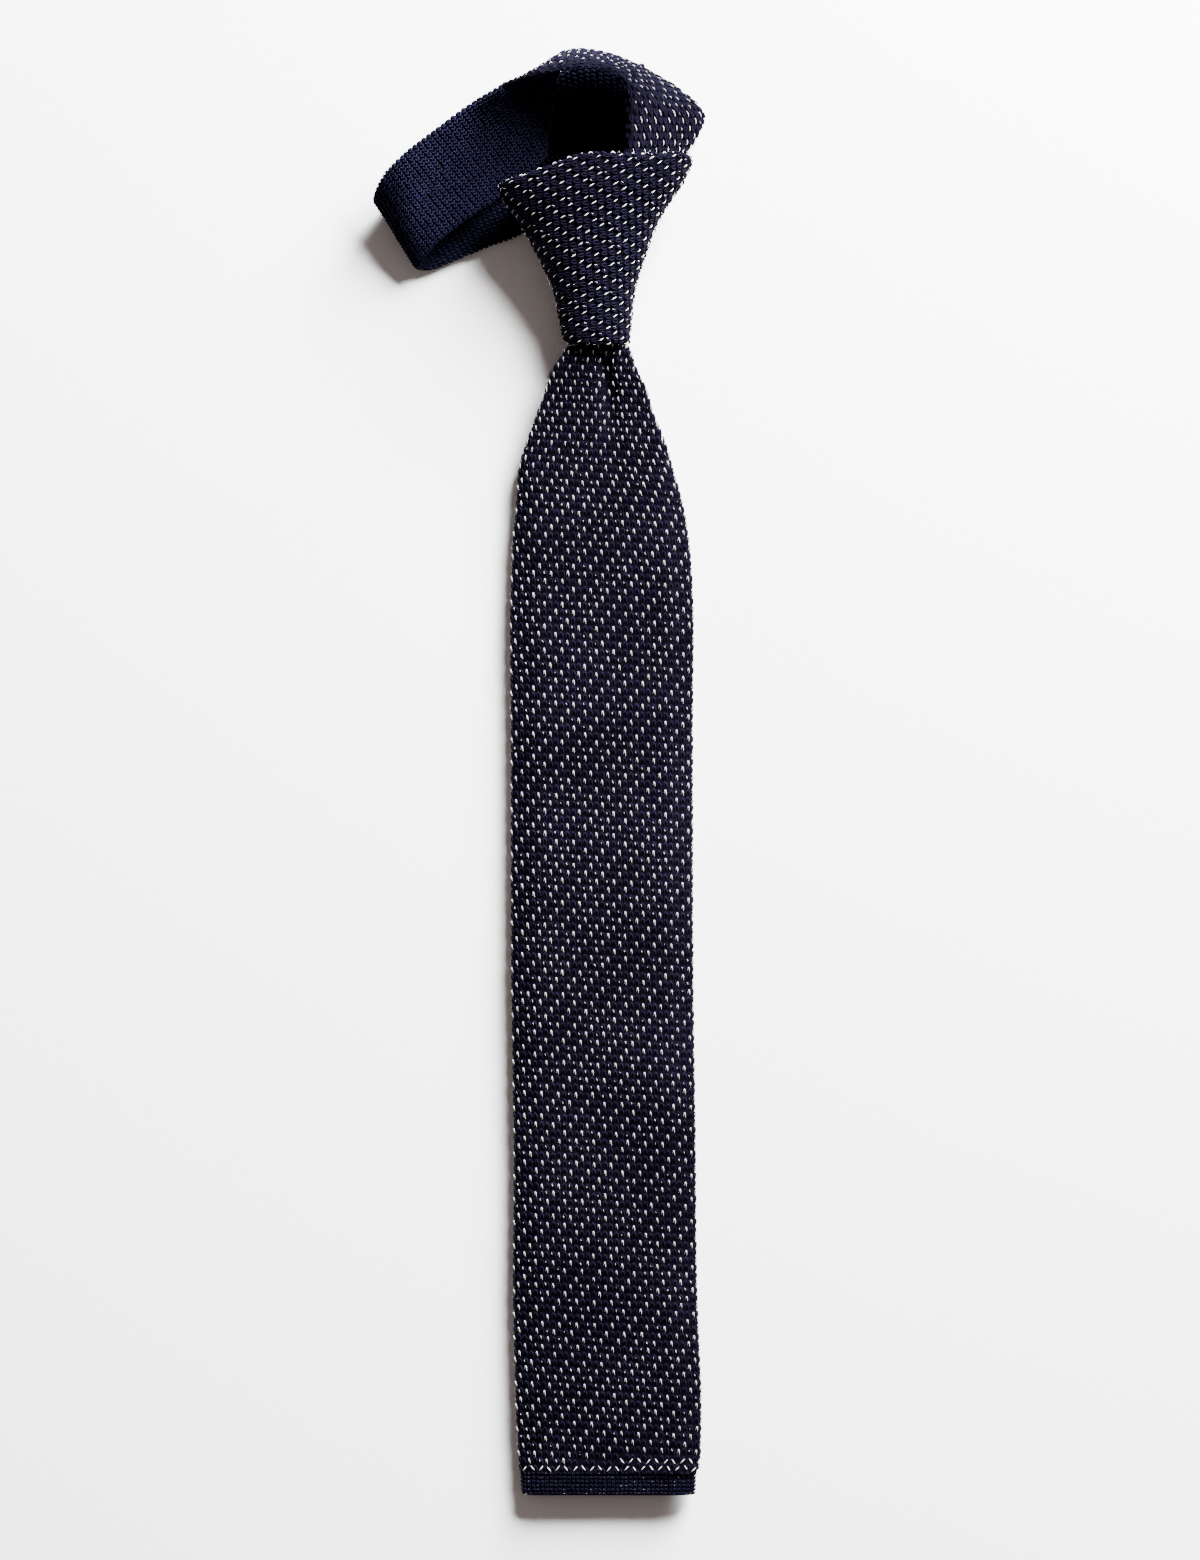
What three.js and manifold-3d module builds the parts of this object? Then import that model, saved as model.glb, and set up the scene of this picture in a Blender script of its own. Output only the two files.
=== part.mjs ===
// Knit tie, tied in a four-in-hand knot and lying on its back.
// Millimetres, +Z up. +Y runs from the square tip towards the neck loop, +X to the viewer's right.
// The origin is at the middle of the footprint, on the surface that the tie lies on.

import * as THREE from 'three';
import Module from 'manifold-3d';
import { mergeVertices } from 'three/addons/utils/BufferGeometryUtils.js';

const wasm = await Module();
wasm.setup();

// Front blade: a flat knitted tube with a square tip
const bladeWidth = 60;
const bladeLength = 366;
const bladeThickness = 3.6;
const gatherLength = 89;
const dimpleDepth = 1.7;
const edgeDroop = 1.6;
const hemLength = 6.5;
const hemWidth = 57;
const hemThickness = 3.2;

// Rear blade: the narrow tail under the front blade
const tailWidth = 36;
const tailShortfall = 21;
const tailLength = bladeLength - tailShortfall;
const tailThickness = 3.4;
const tailGather = 42;
const tailHemLength = 6;

// Knot: an open tapering sleeve around the inner passes
const knotHeight = 62;
const knotTopWidth = 63.7;
const knotDepth = 28;
const wrapThickness = 3.2;

// Neck loop: one band, standing at the right and lying at the left
const loopWidth = 107.7;
const loopReach = 70.5;
const bandWidth = 32.4;
const bandThickness = 3.4;

// Space between neighbouring pieces, and around the curved inner passes of the knot
const clearance = 0.3;
const coreClearance = 0.5;

// Squareness of the knot's rounded section, 2 being a plain ellipse, and its facets around
const knotSquareness = 2.4;
const knotFacets = 44;

function table(names, rows) {
  return rows.map((row) => Object.fromEntries(names.map((name, i) => [name, row[i]])));
}

// Half width and depth are shares of the knot's own, and shift is a share of its top width.
const knotRows = table(['down', 'halfWidth', 'depth', 'shift'], [
  [0.00, 1.10, 1.00, 0.000],
  [0.17, 0.95, 0.97, -0.003],
  [0.25, 0.86, 0.93, -0.012],
  [0.38, 0.70, 0.86, -0.006],
  [0.53, 0.565, 0.78, 0.008],
  [0.71, 0.43, 0.69, 0.022],
  [0.92, 0.365, 0.62, 0.031],
  [1.00, 0.335, 0.59, 0.041],
]);

// How far the knot's open mouth is cut down around it, as a share of its height.
// Angle 0 is the viewer's right, 90 the front, 180 the left and 270 the back.
const mouthRims = table(['angle', 'drop'], [
  [0, 0.035],
  [30, -0.008],
  [60, 0.005],
  [90, 0.00],
  [105, 0.05],
  [120, 0.09],
  [150, 0.14],
  [180, 0.18],
  [190, 0.27],
  [205, 0.42],
  [225, 0.50],
  [270, 0.30],
  [315, 0.20],
  [345, 0.10],
  [360, 0.035],
]);

// The neck band where it enters the knot: across and width are shares of the knot's top width,
// down of its height and height of its depth. Rise and heading turn the band's upper rim.
const strandRows = table(['across', 'down', 'height', 'width', 'rise', 'heading'], [
  [0.168, 0.245, 0.509, 0.211, 35, 180],
  [0.274, 0.104, 0.462, 0.331, 42, 182],
  [0.343, -0.026, 0.445, 0.446, 42, 184],
]);

// The neck band beyond the knot: across is a share of the loop's width, up of its reach,
// height, width and bow of the band's width, and layers counts the bands that it passes over.
// Bow is how far the middle of the band bulges to the outside of the loop.
const loopNames = ['across', 'up', 'layers', 'height', 'width', 'rise', 'heading', 'bow'];
const loopRows = table(loopNames, [
  [0.225, 0.186, 0, 0.362, 1.04, 41, 179, 0.03],
  [0.192, 0.282, 0, 0.427, 0.98, 51, 175, 0.04],
  [0.122, 0.356, 1, 0.403, 0.91, 65, 179, 0.06],
  [0.024, 0.404, 1, 0.443, 0.90, 78, 212, 0.08],
  [-0.078, 0.397, 1, 0.453, 0.87, 83, 246, 0.09],
  [-0.140, 0.294, 1, 0.432, 0.84, 69, 128, 0.13],
  [-0.197, 0.149, 1, 0.352, 1.01, 35, 121, 0.07],
  [-0.287, 0.053, 1, 0.263, 0.98, 25, 125, 0.02],
  [-0.375, -0.055, 1, 0.237, 0.99, 21, 129, 0],
  [-0.465, -0.151, 1, 0.258, 0.94, 17, 129, 0],
  [-0.530, -0.239, 1, 0.247, 0.90, 13, 127, 0],
  [-0.565, -0.307, 0, 0.282, 0.88, 11, 124, 0],
  [-0.577, -0.362, 0, 0.142, 0.84, 7, 123, 0],
  [-0.544, -0.367, 0, 0.038, 0.84, 3, 121, 0],
  [-0.468, -0.294, 0, 0.000, 0.95, 0, 120, 0],
  [-0.368, -0.218, 0, 0.000, 1.00, 0, 117, 0],
  [-0.263, -0.147, 0, 0.000, 1.03, 0, 111, 0],
  [-0.141, 0.020, 0, 0.000, 1.12, 0, 105, 0],
  [-0.027, 0.160, 0, 0.000, 1.12, 0, 99, 0],
  [0.075, 0.195, 0, 0.000, 1.02, 0, 93, 0],
  [0.170, 0.202, 0, 0.000, 0.94, 0, 92, 0],
]);

// The gathered top of the front blade: along is a share of the gather's length, width and
// drift of the blade's width, and rest goes from 0, at the knot's height, to 1, lying flat.
const gatherRows = table(['along', 'width', 'drift', 'rest', 'dimple'], [
  [0.006, 0.335, 0.046, 0.02, 0.5],
  [0.05, 0.41, 0.034, 0.08, 0.9],
  [0.09, 0.47, 0.026, 0.16, 1.0],
  [0.16, 0.555, 0.033, 0.34, 0.8],
  [0.24, 0.63, 0.030, 0.52, 0.55],
  [0.31, 0.71, 0.032, 0.65, 0.35],
  [0.38, 0.785, 0.032, 0.76, 0.2],
  [0.45, 0.84, 0.032, 0.84, 0.1],
  [0.56, 0.90, 0.051, 0.92, 0.0],
  [0.71, 0.96, 0.059, 0.97, 0.0],
  [0.85, 0.985, 0.065, 1.0, 0.0],
  [1.00, 1.00, 0.065, 1.0, 0.0],
]);

// The hanging length of the front blade, as shares of that length and of the blade's width
const hangRows = table(['along', 'width', 'drift'], [
  [0.14, 0.99, 0.065],
  [0.42, 0.99, 0.068],
  [0.63, 0.99, 0.081],
  [0.77, 1.00, 0.081],
  [0.91, 1.01, 0.100],
  [0.98, 0.99, 0.105],
  [1.00, 0.965, 0.100],
]);

// The tail's spread below the knot, as shares of its gather and of its width
const tailRows = table(['along', 'width', 'rest'], [
  [0.04, 0.34, 0.15],
  [0.20, 0.50, 0.45],
  [0.45, 0.66, 0.8],
  [0.75, 0.78, 0.97],
  [1.00, 0.84, 1.0],
]);

// A row between two rows, eased so that the outline has no corners at the rows
function rowAt(rows, key, at) {
  const last = rows.length - 1;
  let i = rows.findIndex((row) => row[key] > at) - 1;
  if (at >= rows[last][key]) i = last - 1;
  if (at <= rows[0][key]) i = 0;
  const [a, b] = [rows[i], rows[i + 1]];
  const span = b[key] - a[key];
  const t = THREE.MathUtils.clamp((at - a[key]) / span, 0, 1);
  const slope = (name, j) => {
    const before = rows[Math.max(j - 1, 0)];
    const after = rows[Math.min(j + 1, last)];
    return (after[name] - before[name]) / (after[key] - before[key]);
  };
  const row = {};
  for (const name of Object.keys(a)) {
    const rise = b[name] - a[name];
    const limit = 3 * Math.abs(rise / span);
    const start = THREE.MathUtils.clamp(slope(name, i), -limit, limit) * span;
    const end = THREE.MathUtils.clamp(slope(name, i + 1), -limit, limit) * span;
    row[name] = a[name]
      + t * start
      + t * t * (3 * rise - 2 * start - end)
      + t * t * t * (start + end - 2 * rise);
  }
  return row;
}

// The places of the rows with steps between them
function subdivided(places, steps) {
  const fine = [];
  for (let i = 0; i < places.length - 1; i += 1) {
    for (let j = 0; j < steps; j += 1) {
      fine.push(places[i] + (places[i + 1] - places[i]) * j / steps);
    }
  }
  fine.push(places[places.length - 1]);
  return fine;
}

// A closed body from rings of equally many points. Looped rings join the last to the first.
function loft(rings, looped = false) {
  const count = rings[0].length;
  const positions = rings.flat().flatMap((point) => [point.x, point.y, point.z]);
  const faces = [];
  const spans = looped ? rings.length : rings.length - 1;
  for (let r = 0; r < spans; r += 1) {
    const here = r * count;
    const next = ((r + 1) % rings.length) * count;
    for (let i = 0; i < count; i += 1) {
      const j = (i + 1) % count;
      faces.push([here + i, next + i, next + j], [here + i, next + j, here + j]);
    }
  }
  if (!looped) {
    [[0, true], [rings.length - 1, false]].forEach(([r, first]) => {
      const centre = new THREE.Vector3();
      rings[r].forEach((point) => centre.addScaledVector(point, 1 / count));
      const hub = positions.length / 3;
      positions.push(centre.x, centre.y, centre.z);
      for (let i = 0; i < count; i += 1) {
        const j = (i + 1) % count;
        const [a, b] = [r * count + i, r * count + j];
        faces.push(first ? [hub, a, b] : [hub, b, a]);
      }
    });
  }
  const geometry = new THREE.BufferGeometry();
  geometry.setAttribute('position', new THREE.Float32BufferAttribute(positions, 3));
  if (enclosedVolume(positions, faces) < 0) faces.forEach((face) => face.reverse());
  geometry.setIndex(faces.flat());
  return geometry;
}

function enclosedVolume(positions, faces) {
  const corner = (i) => new THREE.Vector3().fromArray(positions, 3 * i);
  const wedge = ([a, b, c]) => corner(a).dot(corner(b).cross(corner(c)));
  return faces.reduce((sum, face) => sum + wedge(face), 0) / 6;
}

// The outline of a flat tube: straight faces and half-round edges, as [across, up] pairs
function flatOutline(width, thickness, straights = 10, arcs = 4) {
  const half = width / 2 - thickness / 2;
  const outline = [];
  for (const side of [1, -1]) {
    for (let i = 0; i < straights; i += 1) {
      outline.push([side * half * (1 - 2 * i / straights), side * thickness / 2]);
    }
    for (let i = 0; i < arcs; i += 1) {
      const turn = Math.PI * i / arcs;
      outline.push([
        side * (-half - Math.sin(turn) * thickness / 2),
        side * Math.cos(turn) * thickness / 2,
      ]);
    }
  }
  return outline;
}

// Cloth of the knot's sleeve

function powered(value) {
  return Math.sign(value) * Math.abs(value) ** (2 / knotSquareness);
}

// Half the knot's width and depth and the middle of its section, inset from its outside
function knotSection(down, inset) {
  const row = rowAt(knotRows, 'down', down);
  return {
    halfWidth: row.halfWidth * knotTopWidth / 2 - inset,
    halfDepth: row.depth * knotDepth / 2 - inset,
    x: row.shift * knotTopWidth,
    y: knotHeight * (1 - down),
    z: row.depth * knotDepth / 2,
  };
}

function knotPoint(down, turn, inset) {
  const section = knotSection(down, inset);
  return new THREE.Vector3(
    section.x + section.halfWidth * powered(Math.cos(turn)),
    section.y,
    section.z + section.halfDepth * powered(Math.sin(turn)),
  );
}

function knotWrap() {
  const around = knotFacets;
  const rows = 12;
  const lip = wrapThickness / 2;
  const lipShare = lip / knotHeight;
  const rings = [];
  const ring = (place) => {
    const points = [];
    for (let i = 0; i < around; i += 1) {
      const turn = 2 * Math.PI * i / around;
      const drop = rowAt(mouthRims, 'angle', 360 * i / around).drop;
      points.push(place(turn, drop + lipShare, 1 - lipShare));
    }
    rings.push(points);
  };
  for (let k = 0; k <= rows; k += 1) {
    ring((turn, top, bottom) => knotPoint(top + (bottom - top) * k / rows, turn, 0));
  }
  for (const bend of [30, 90, 150]) {
    const angle = THREE.MathUtils.degToRad(bend);
    const beyond = lipShare * Math.sin(angle);
    ring((turn, top, bottom) => knotPoint(bottom + beyond, turn, lip * (1 - Math.cos(angle))));
  }
  for (let k = rows; k >= 0; k -= 1) {
    ring((turn, top, bottom) => {
      return knotPoint(top + (bottom - top) * k / rows, turn, wrapThickness);
    });
  }
  for (const bend of [150, 90, 30]) {
    const angle = THREE.MathUtils.degToRad(bend);
    const beyond = lipShare * Math.sin(angle);
    ring((turn, top) => knotPoint(top - beyond, turn, lip * (1 - Math.cos(angle))));
  }
  return loft(rings, true);
}

// Neck band: a centre line and the vector from it to the band's upper rim

function rimDirection(rise, heading) {
  const up = THREE.MathUtils.degToRad(rise);
  const turn = THREE.MathUtils.degToRad(heading);
  return new THREE.Vector3(
    Math.cos(up) * Math.cos(turn),
    Math.cos(up) * Math.sin(turn),
    Math.sin(up),
  );
}

function bandStations() {
  const atKnot = strandRows.map((row) => ({
    centre: new THREE.Vector3(
      row.across * knotTopWidth,
      knotHeight * (1 - row.down),
      row.height * knotDepth,
    ),
    rim: rimDirection(row.rise, row.heading).multiplyScalar(row.width * knotTopWidth / 2),
    bow: 0,
  }));
  const beyond = loopRows.map((row) => ({
    centre: new THREE.Vector3(
      row.across * loopWidth,
      knotHeight + row.up * loopReach,
      bandThickness * (0.5 + row.layers) + row.height * bandWidth,
    ),
    rim: rimDirection(row.rise, row.heading).multiplyScalar(row.width * bandWidth / 2),
    bow: row.bow * bandWidth,
  }));
  return [...atKnot, ...beyond];
}

// The band, or with a margin the room that it needs in a neighbour
function neckBand(margin = 0) {
  const stations = bandStations();
  const centres = new THREE.CatmullRomCurve3(stations.map((station) => station.centre));
  const rims = new THREE.CatmullRomCurve3(stations.map((station) => station.rim));
  const stepsBetween = 3;
  const bowAt = (place) => {
    const i = Math.min(Math.floor(place), stations.length - 2);
    return THREE.MathUtils.lerp(stations[i].bow, stations[i + 1].bow, place - i);
  };
  const steps = (stations.length - 1) * stepsBetween;
  const rings = [];
  for (let i = 0; i <= steps; i += 1) {
    const centre = centres.getPoint(i / steps);
    const rim = rims.getPoint(i / steps);
    const along = centres.getTangent(i / steps);
    if (i === 0) centre.addScaledVector(along, -margin);
    if (i === steps) centre.addScaledVector(along, margin);
    const width = 2 * rim.length() + 2 * margin;
    const across = rim.clone().normalize();
    const outwards = new THREE.Vector3().crossVectors(along, across).normalize();
    const bow = bowAt(i / stepsBetween);
    rings.push(flatOutline(width, bandThickness + 2 * margin, 6, 3).map(([a, b]) => {
      const bulge = bow * (1 - (2 * a / width) ** 2);
      return centre.clone().addScaledVector(across, a).addScaledVector(outwards, b + bulge);
    }));
  }
  return loft(rings);
}

// Inner passes of the knot: they fill the sleeve around the strands that enter it

const coreTop = 0.2;
const coreBottom = 0.9;

function asSolid(geometry) {
  const bare = geometry.clone();
  bare.deleteAttribute('normal');
  bare.deleteAttribute('uv');
  const merged = mergeVertices(bare);
  return new wasm.Manifold(new wasm.Mesh({
    numProp: 3,
    vertProperties: new Float32Array(merged.attributes.position.array),
    triVerts: new Uint32Array(merged.index.array),
  }));
}

function asGeometry(solid) {
  const mesh = solid.getMesh();
  const geometry = new THREE.BufferGeometry();
  geometry.setAttribute('position', new THREE.BufferAttribute(mesh.vertProperties, 3));
  geometry.setIndex(new THREE.BufferAttribute(mesh.triVerts, 1));
  return geometry;
}

function knotCore() {
  const around = knotFacets;
  const rows = 10;
  const rings = [];
  for (let k = 0; k <= rows; k += 1) {
    const down = coreTop + (coreBottom - coreTop) * k / rows;
    const points = [];
    for (let i = 0; i < around; i += 1) {
      points.push(knotPoint(down, 2 * Math.PI * i / around, wrapThickness + coreClearance));
    }
    rings.push(points);
  }
  return asGeometry(asSolid(loft(rings)).subtract(asSolid(neckBand(coreClearance))));
}

// Front blade, from inside the knot to its hem

// What the sleeve leaves free at its lower edge: its inside width and depth, floor and middle
function knotExit() {
  const section = knotSection(1, wrapThickness);
  return {
    width: 2 * section.halfWidth,
    depth: 2 * section.halfDepth,
    floor: section.z - section.halfDepth,
    x: section.x,
    start: knotHeight * (1 - coreBottom) - clearance,
  };
}

// The blade leaves the knot above the tail, with the room around both shared out
function exitHeights() {
  const exit = knotExit();
  const spare = 0.11 * exit.depth;
  const blade = exit.depth - tailThickness - 3 * spare;
  const tailMiddle = exit.floor + spare + tailThickness / 2 + 0.3 * spare;
  const bladeMiddle = exit.floor + 2.2 * spare + tailThickness + blade / 2;
  return { blade, tailMiddle, bladeMiddle };
}

const bladeFlatHeight = tailThickness + clearance + bladeThickness / 2;
const dimpleOffset = 0.25;
const dimpleSpread = 0.2;

function bladeSections() {
  const exit = knotExit();
  const heights = exitHeights();
  const inside = [exit.start, 0].map((y) => ({
    y, width: 0.8 * exit.width, x: exit.x, thickness: heights.blade,
    height: heights.bladeMiddle, dimple: 0,
  }));
  const gathered = subdivided(gatherRows.map((row) => row.along), 2).map((along) => {
    const row = rowAt(gatherRows, 'along', along);
    const falling = THREE.MathUtils.lerp(heights.bladeMiddle, bladeFlatHeight, row.rest);
    return {
      y: -along * gatherLength, width: row.width * bladeWidth, x: row.drift * bladeWidth,
      thickness: THREE.MathUtils.lerp(heights.blade, bladeThickness, Math.sqrt(row.rest)),
      height: falling, dimple: row.dimple,
    };
  });
  const hanging = hangRows.map((row) => ({
    y: -gatherLength - row.along * (bladeLength - gatherLength),
    width: row.width * bladeWidth, x: row.drift * bladeWidth,
    thickness: bladeThickness, height: bladeFlatHeight, dimple: 0,
  }));
  return [...inside, ...gathered, ...hanging];
}

// How far an edge of the front blade sinks beside the tail
function droopAt(distance) {
  const start = tailWidth / 2 + bladeThickness / 2;
  return edgeDroop * THREE.MathUtils.smoothstep(Math.abs(distance), start, bladeWidth / 2);
}

function bladeRing(section) {
  return flatOutline(section.width, section.thickness, 12, 4).map(([across, up]) => {
    const share = 2 * across / section.width;
    const groove = Math.exp(-(((share - dimpleOffset) / dimpleSpread) ** 2));
    const onTop = up > 0 ? 1 : 0.3;
    const height = section.height + up - droopAt(across)
      - section.dimple * dimpleDepth * groove * onTop;
    return new THREE.Vector3(section.x + across, section.y, height);
  });
}

function frontBlade() {
  return loft(bladeSections().map(bladeRing));
}

// The plain band that closes the tip, a little narrower than the blade, with round corners
function frontHem() {
  const drift = hangRows[hangRows.length - 1].drift * bladeWidth;
  const top = -bladeLength - clearance;
  const height = tailThickness + clearance + hemThickness / 2;
  const hemRows = table(['along', 'width', 'thickness'], [
    [0.0, 1.0, 1.0],
    [0.15, 1.0, 1.0],
    [0.7, 0.995, 1.0],
    [0.93, 0.97, 0.85],
    [1.0, 0.93, 0.6],
  ]);
  return loft(hemRows.map((row) => {
    const outline = flatOutline(row.width * hemWidth, row.thickness * hemThickness, 12, 4);
    return outline.map(([across, up]) => new THREE.Vector3(
      drift + across,
      top - row.along * hemLength,
      height + up - droopAt(across),
    ));
  }));
}

// Rear blade and its hem, flat on the surface under the front blade

function tailCentre(y) {
  return rowAt(hangRows, 'along', -y / bladeLength).drift * bladeWidth;
}

function rearBlade() {
  const exit = knotExit();
  const heights = exitHeights();
  const section = (y, width, height, x) => {
    return flatOutline(width, tailThickness, 6, 4).map(([across, up]) => {
      return new THREE.Vector3(x + across, y, height + up);
    });
  };
  const spread = tailRows.map((row) => {
    const height = THREE.MathUtils.lerp(heights.tailMiddle, tailThickness / 2, row.rest);
    const x = THREE.MathUtils.lerp(exit.x, tailCentre(-tailGather), row.along);
    return section(-row.along * tailGather, row.width * tailWidth, height, x);
  });
  const narrow = tailRows[tailRows.length - 1].width;
  const hanging = [0.1, 0.25, 0.5, 0.75, 1].map((along) => {
    const y = -tailGather - along * (tailLength - tailGather);
    const width = THREE.MathUtils.lerp(narrow, 1, along) * tailWidth;
    return section(y, width, tailThickness / 2, tailCentre(y));
  });
  return loft([
    section(exit.start, 0.72 * exit.width, heights.tailMiddle, exit.x),
    section(0, 0.72 * exit.width, heights.tailMiddle, exit.x),
    ...spread,
    ...hanging,
  ]);
}

function rearHem() {
  const top = -tailLength - clearance;
  const hemRows = table(['along', 'width', 'thickness'], [
    [0.0, 0.97, 0.92],
    [0.75, 0.965, 0.92],
    [1.0, 0.9, 0.6],
  ]);
  return loft(hemRows.map((row) => {
    const thickness = row.thickness * tailThickness;
    const outline = flatOutline(row.width * tailWidth, thickness, 6, 4);
    return outline.map(([across, up]) => new THREE.Vector3(
      tailCentre(top) + across,
      top - row.along * tailHemLength,
      tailThickness / 2 + up,
    ));
  }));
}

// Assembly

function knit(colour) {
  return new THREE.MeshStandardMaterial({ color: colour, roughness: 0.9, metalness: 0 });
}

const birdseyeKnit = 0x2c2b40;
const plainKnit = 0x1b1d38;
const ribbedHem = 0x15152a;

const tie = new THREE.Group();

function add(name, geometry, colour) {
  const mesh = new THREE.Mesh(geometry, knit(colour));
  mesh.name = name;
  tie.add(mesh);
}

add('front_blade', frontBlade(), birdseyeKnit);
add('front_hem', frontHem(), ribbedHem);
add('knot_wrap', knotWrap(), birdseyeKnit);
add('knot_core', knotCore(), birdseyeKnit);
add('neck_band', neckBand(), plainKnit);
add('rear_blade', rearBlade(), birdseyeKnit);
add('rear_hem', rearHem(), ribbedHem);

const box = new THREE.Box3().setFromObject(tie);
const middle = box.getCenter(new THREE.Vector3());
tie.position.set(-middle.x, -middle.y, -box.min.z);
tie.updateMatrixWorld(true);

export default tie;
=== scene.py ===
import math

import bpy
import numpy as np
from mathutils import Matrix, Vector


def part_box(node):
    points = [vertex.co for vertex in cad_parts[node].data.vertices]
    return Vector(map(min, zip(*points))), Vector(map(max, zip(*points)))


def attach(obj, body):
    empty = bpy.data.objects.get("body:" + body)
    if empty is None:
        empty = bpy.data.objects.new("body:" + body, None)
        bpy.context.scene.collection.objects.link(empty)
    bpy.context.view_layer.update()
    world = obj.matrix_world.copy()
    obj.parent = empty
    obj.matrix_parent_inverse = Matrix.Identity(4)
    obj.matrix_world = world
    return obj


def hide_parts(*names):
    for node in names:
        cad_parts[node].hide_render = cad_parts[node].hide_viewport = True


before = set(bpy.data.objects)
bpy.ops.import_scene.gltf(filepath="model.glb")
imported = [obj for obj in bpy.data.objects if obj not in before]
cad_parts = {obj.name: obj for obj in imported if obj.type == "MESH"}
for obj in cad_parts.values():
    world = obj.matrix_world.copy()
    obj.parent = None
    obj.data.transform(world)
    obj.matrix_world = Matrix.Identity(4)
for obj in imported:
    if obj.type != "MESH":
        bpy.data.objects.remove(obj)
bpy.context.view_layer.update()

# Knit tie in a four-in-hand knot, laid on its back. Lengths are in millimetres
# until a mesh is made, and X and Y are counted from the knot's lower edge.

rng = np.random.default_rng(19)
scene = bpy.context.scene

# The sizes that more than one piece uses. The others stand beside their pieces.
blade = {
    "width": 60.0,
    "length": 366.0,
    "thickness": 3.6,
    "edgeDroop": 1.6,
}
tail = {
    "width": 36.0,
    "length": blade["length"] - 21,
    "thickness": 3.4,
}
knot = {
    "height": 62.0,
    "topWidth": 63.7,
    "depth": 28.0,
    "wrapThickness": 3.2,
    "squareness": 2.4,
}
clearance = 0.3
hiddenStart = -5.9  # where both blades begin, inside the knot

# The knit: distances between neighbouring stitches, and how deep the cloth lies
# under the crests of its stitches
knit = {
    "column": 1.86,
    "course": 2.48,
    "slope": 0.040,      # rise of a course across the blade
    "sink": 0.55,        # the ground cloth, under the cloth's own surface
    "crest": 0.12,       # the stitches' middles, over that ground
    "unevenness": 0.10,  # of the stitches' places, as a share of their distances
}

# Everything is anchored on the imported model: the hem gives X, the knot's lower
# edge gives Y and the rear blade's underside gives Z.
hemLow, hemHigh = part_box("front_hem")
foot = np.array([
    (hemLow.x + hemHigh.x) / 2 * 1000 - 0.1 * blade["width"],
    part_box("knot_wrap")[0].y * 1000,
    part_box("rear_blade")[0].z * 1000,
])


# Tables and curves

def tableOf(names, rows):
    values = np.array(rows, float)
    return {name: values[:, i] for i, name in enumerate(names.split())}


def rowAt(rows, key, at):
    # the table's columns at any places, eased so that no corner shows at a row
    places = rows[key]
    last = len(places) - 1
    at = np.clip(np.asarray(at, float), places[0], places[-1])
    i = np.clip(np.searchsorted(places, at, side="right") - 1, 0, last - 1)
    span = places[i + 1] - places[i]
    t = (at - places[i]) / span
    before = np.maximum(np.arange(last + 1) - 1, 0)
    after = np.minimum(np.arange(last + 1) + 1, last)
    found = {}
    for name, values in rows.items():
        slopes = (values[after] - values[before]) / (places[after] - places[before])
        rise = values[i + 1] - values[i]
        limit = 3 * np.abs(rise / span)
        start = np.clip(slopes[i], -limit, limit) * span
        end = np.clip(slopes[i + 1], -limit, limit) * span
        found[name] = (values[i] + t * start + t * t * (3 * rise - 2 * start - end)
                       + t ** 3 * (start + end - 2 * rise))
    return found


def mixed(a, b, share):
    return a + (b - a) * share


def smoothStep(value, low, high):
    t = np.clip((value - low) / (high - low), 0, 1)
    return t * t * (3 - 2 * t)


def curveThrough(points, places):
    # a centripetal curve through points, at places counted in points
    points = np.asarray(points, float)
    last = len(points) - 1
    ends = np.vstack([2 * points[0] - points[1], points, 2 * points[-1] - points[-2]])
    i = np.clip(np.floor(places).astype(int), 0, last - 1)
    t = (places - i)[:, None]
    p0, p1, p2, p3 = ends[i], ends[i + 1], ends[i + 2], ends[i + 3]

    def gap(a, b):
        return np.maximum(np.linalg.norm(b - a, axis=1, keepdims=True), 1e-6) ** 0.5

    d0, d1, d2 = gap(p0, p1), gap(p1, p2), gap(p2, p3)
    start = ((p1 - p0) / d0 - (p2 - p0) / (d0 + d1) + (p2 - p1) / d1) * d1
    end = ((p2 - p1) / d1 - (p3 - p1) / (d1 + d2) + (p3 - p2) / d2) * d1
    return (p1 + t * start + t * t * (3 * (p2 - p1) - 2 * start - end)
            + t ** 3 * (start + end - 2 * (p2 - p1)))


def tubeOutline(width, thickness, share):
    # across and up, at a share of the way round a flat tube, from the middle of
    # its face towards the right
    r = thickness / 2
    half = width / 2 - r
    arc = math.pi * r
    s = (share % 1) * (4 * half + 2 * arc)
    right = (s - half) / r
    left = (s - 3 * half - arc) / r
    places = [s < half, s < half + arc, s < 3 * half + arc, s < 3 * half + 2 * arc]
    across = np.select(
        places,
        [s, half + r * np.sin(right), 2 * half + arc - s, -half - r * np.sin(left)],
        s - 4 * half - 2 * arc)
    up = np.select(places, [r + 0 * s, r * np.cos(right), -r + 0 * s, -r * np.cos(left)], r)
    return across, up


def waves(x, y, size, height, seed):
    # gentle unevenness of handled cloth, from a few fixed waves
    own = np.random.default_rng(seed)
    total = 0.0
    for k in range(5):
        turn = own.uniform(0, 2 * math.pi)
        length = size * own.uniform(0.6, 1.6)
        phase = own.uniform(0, 2 * math.pi)
        total = total + np.sin(
            (x * math.cos(turn) + y * math.sin(turn)) * 2 * math.pi / length + phase)
    return total * height / 5


# Cloth as a grid of points with its outward normals. Rows run along the cloth
# and columns run around it.

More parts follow.
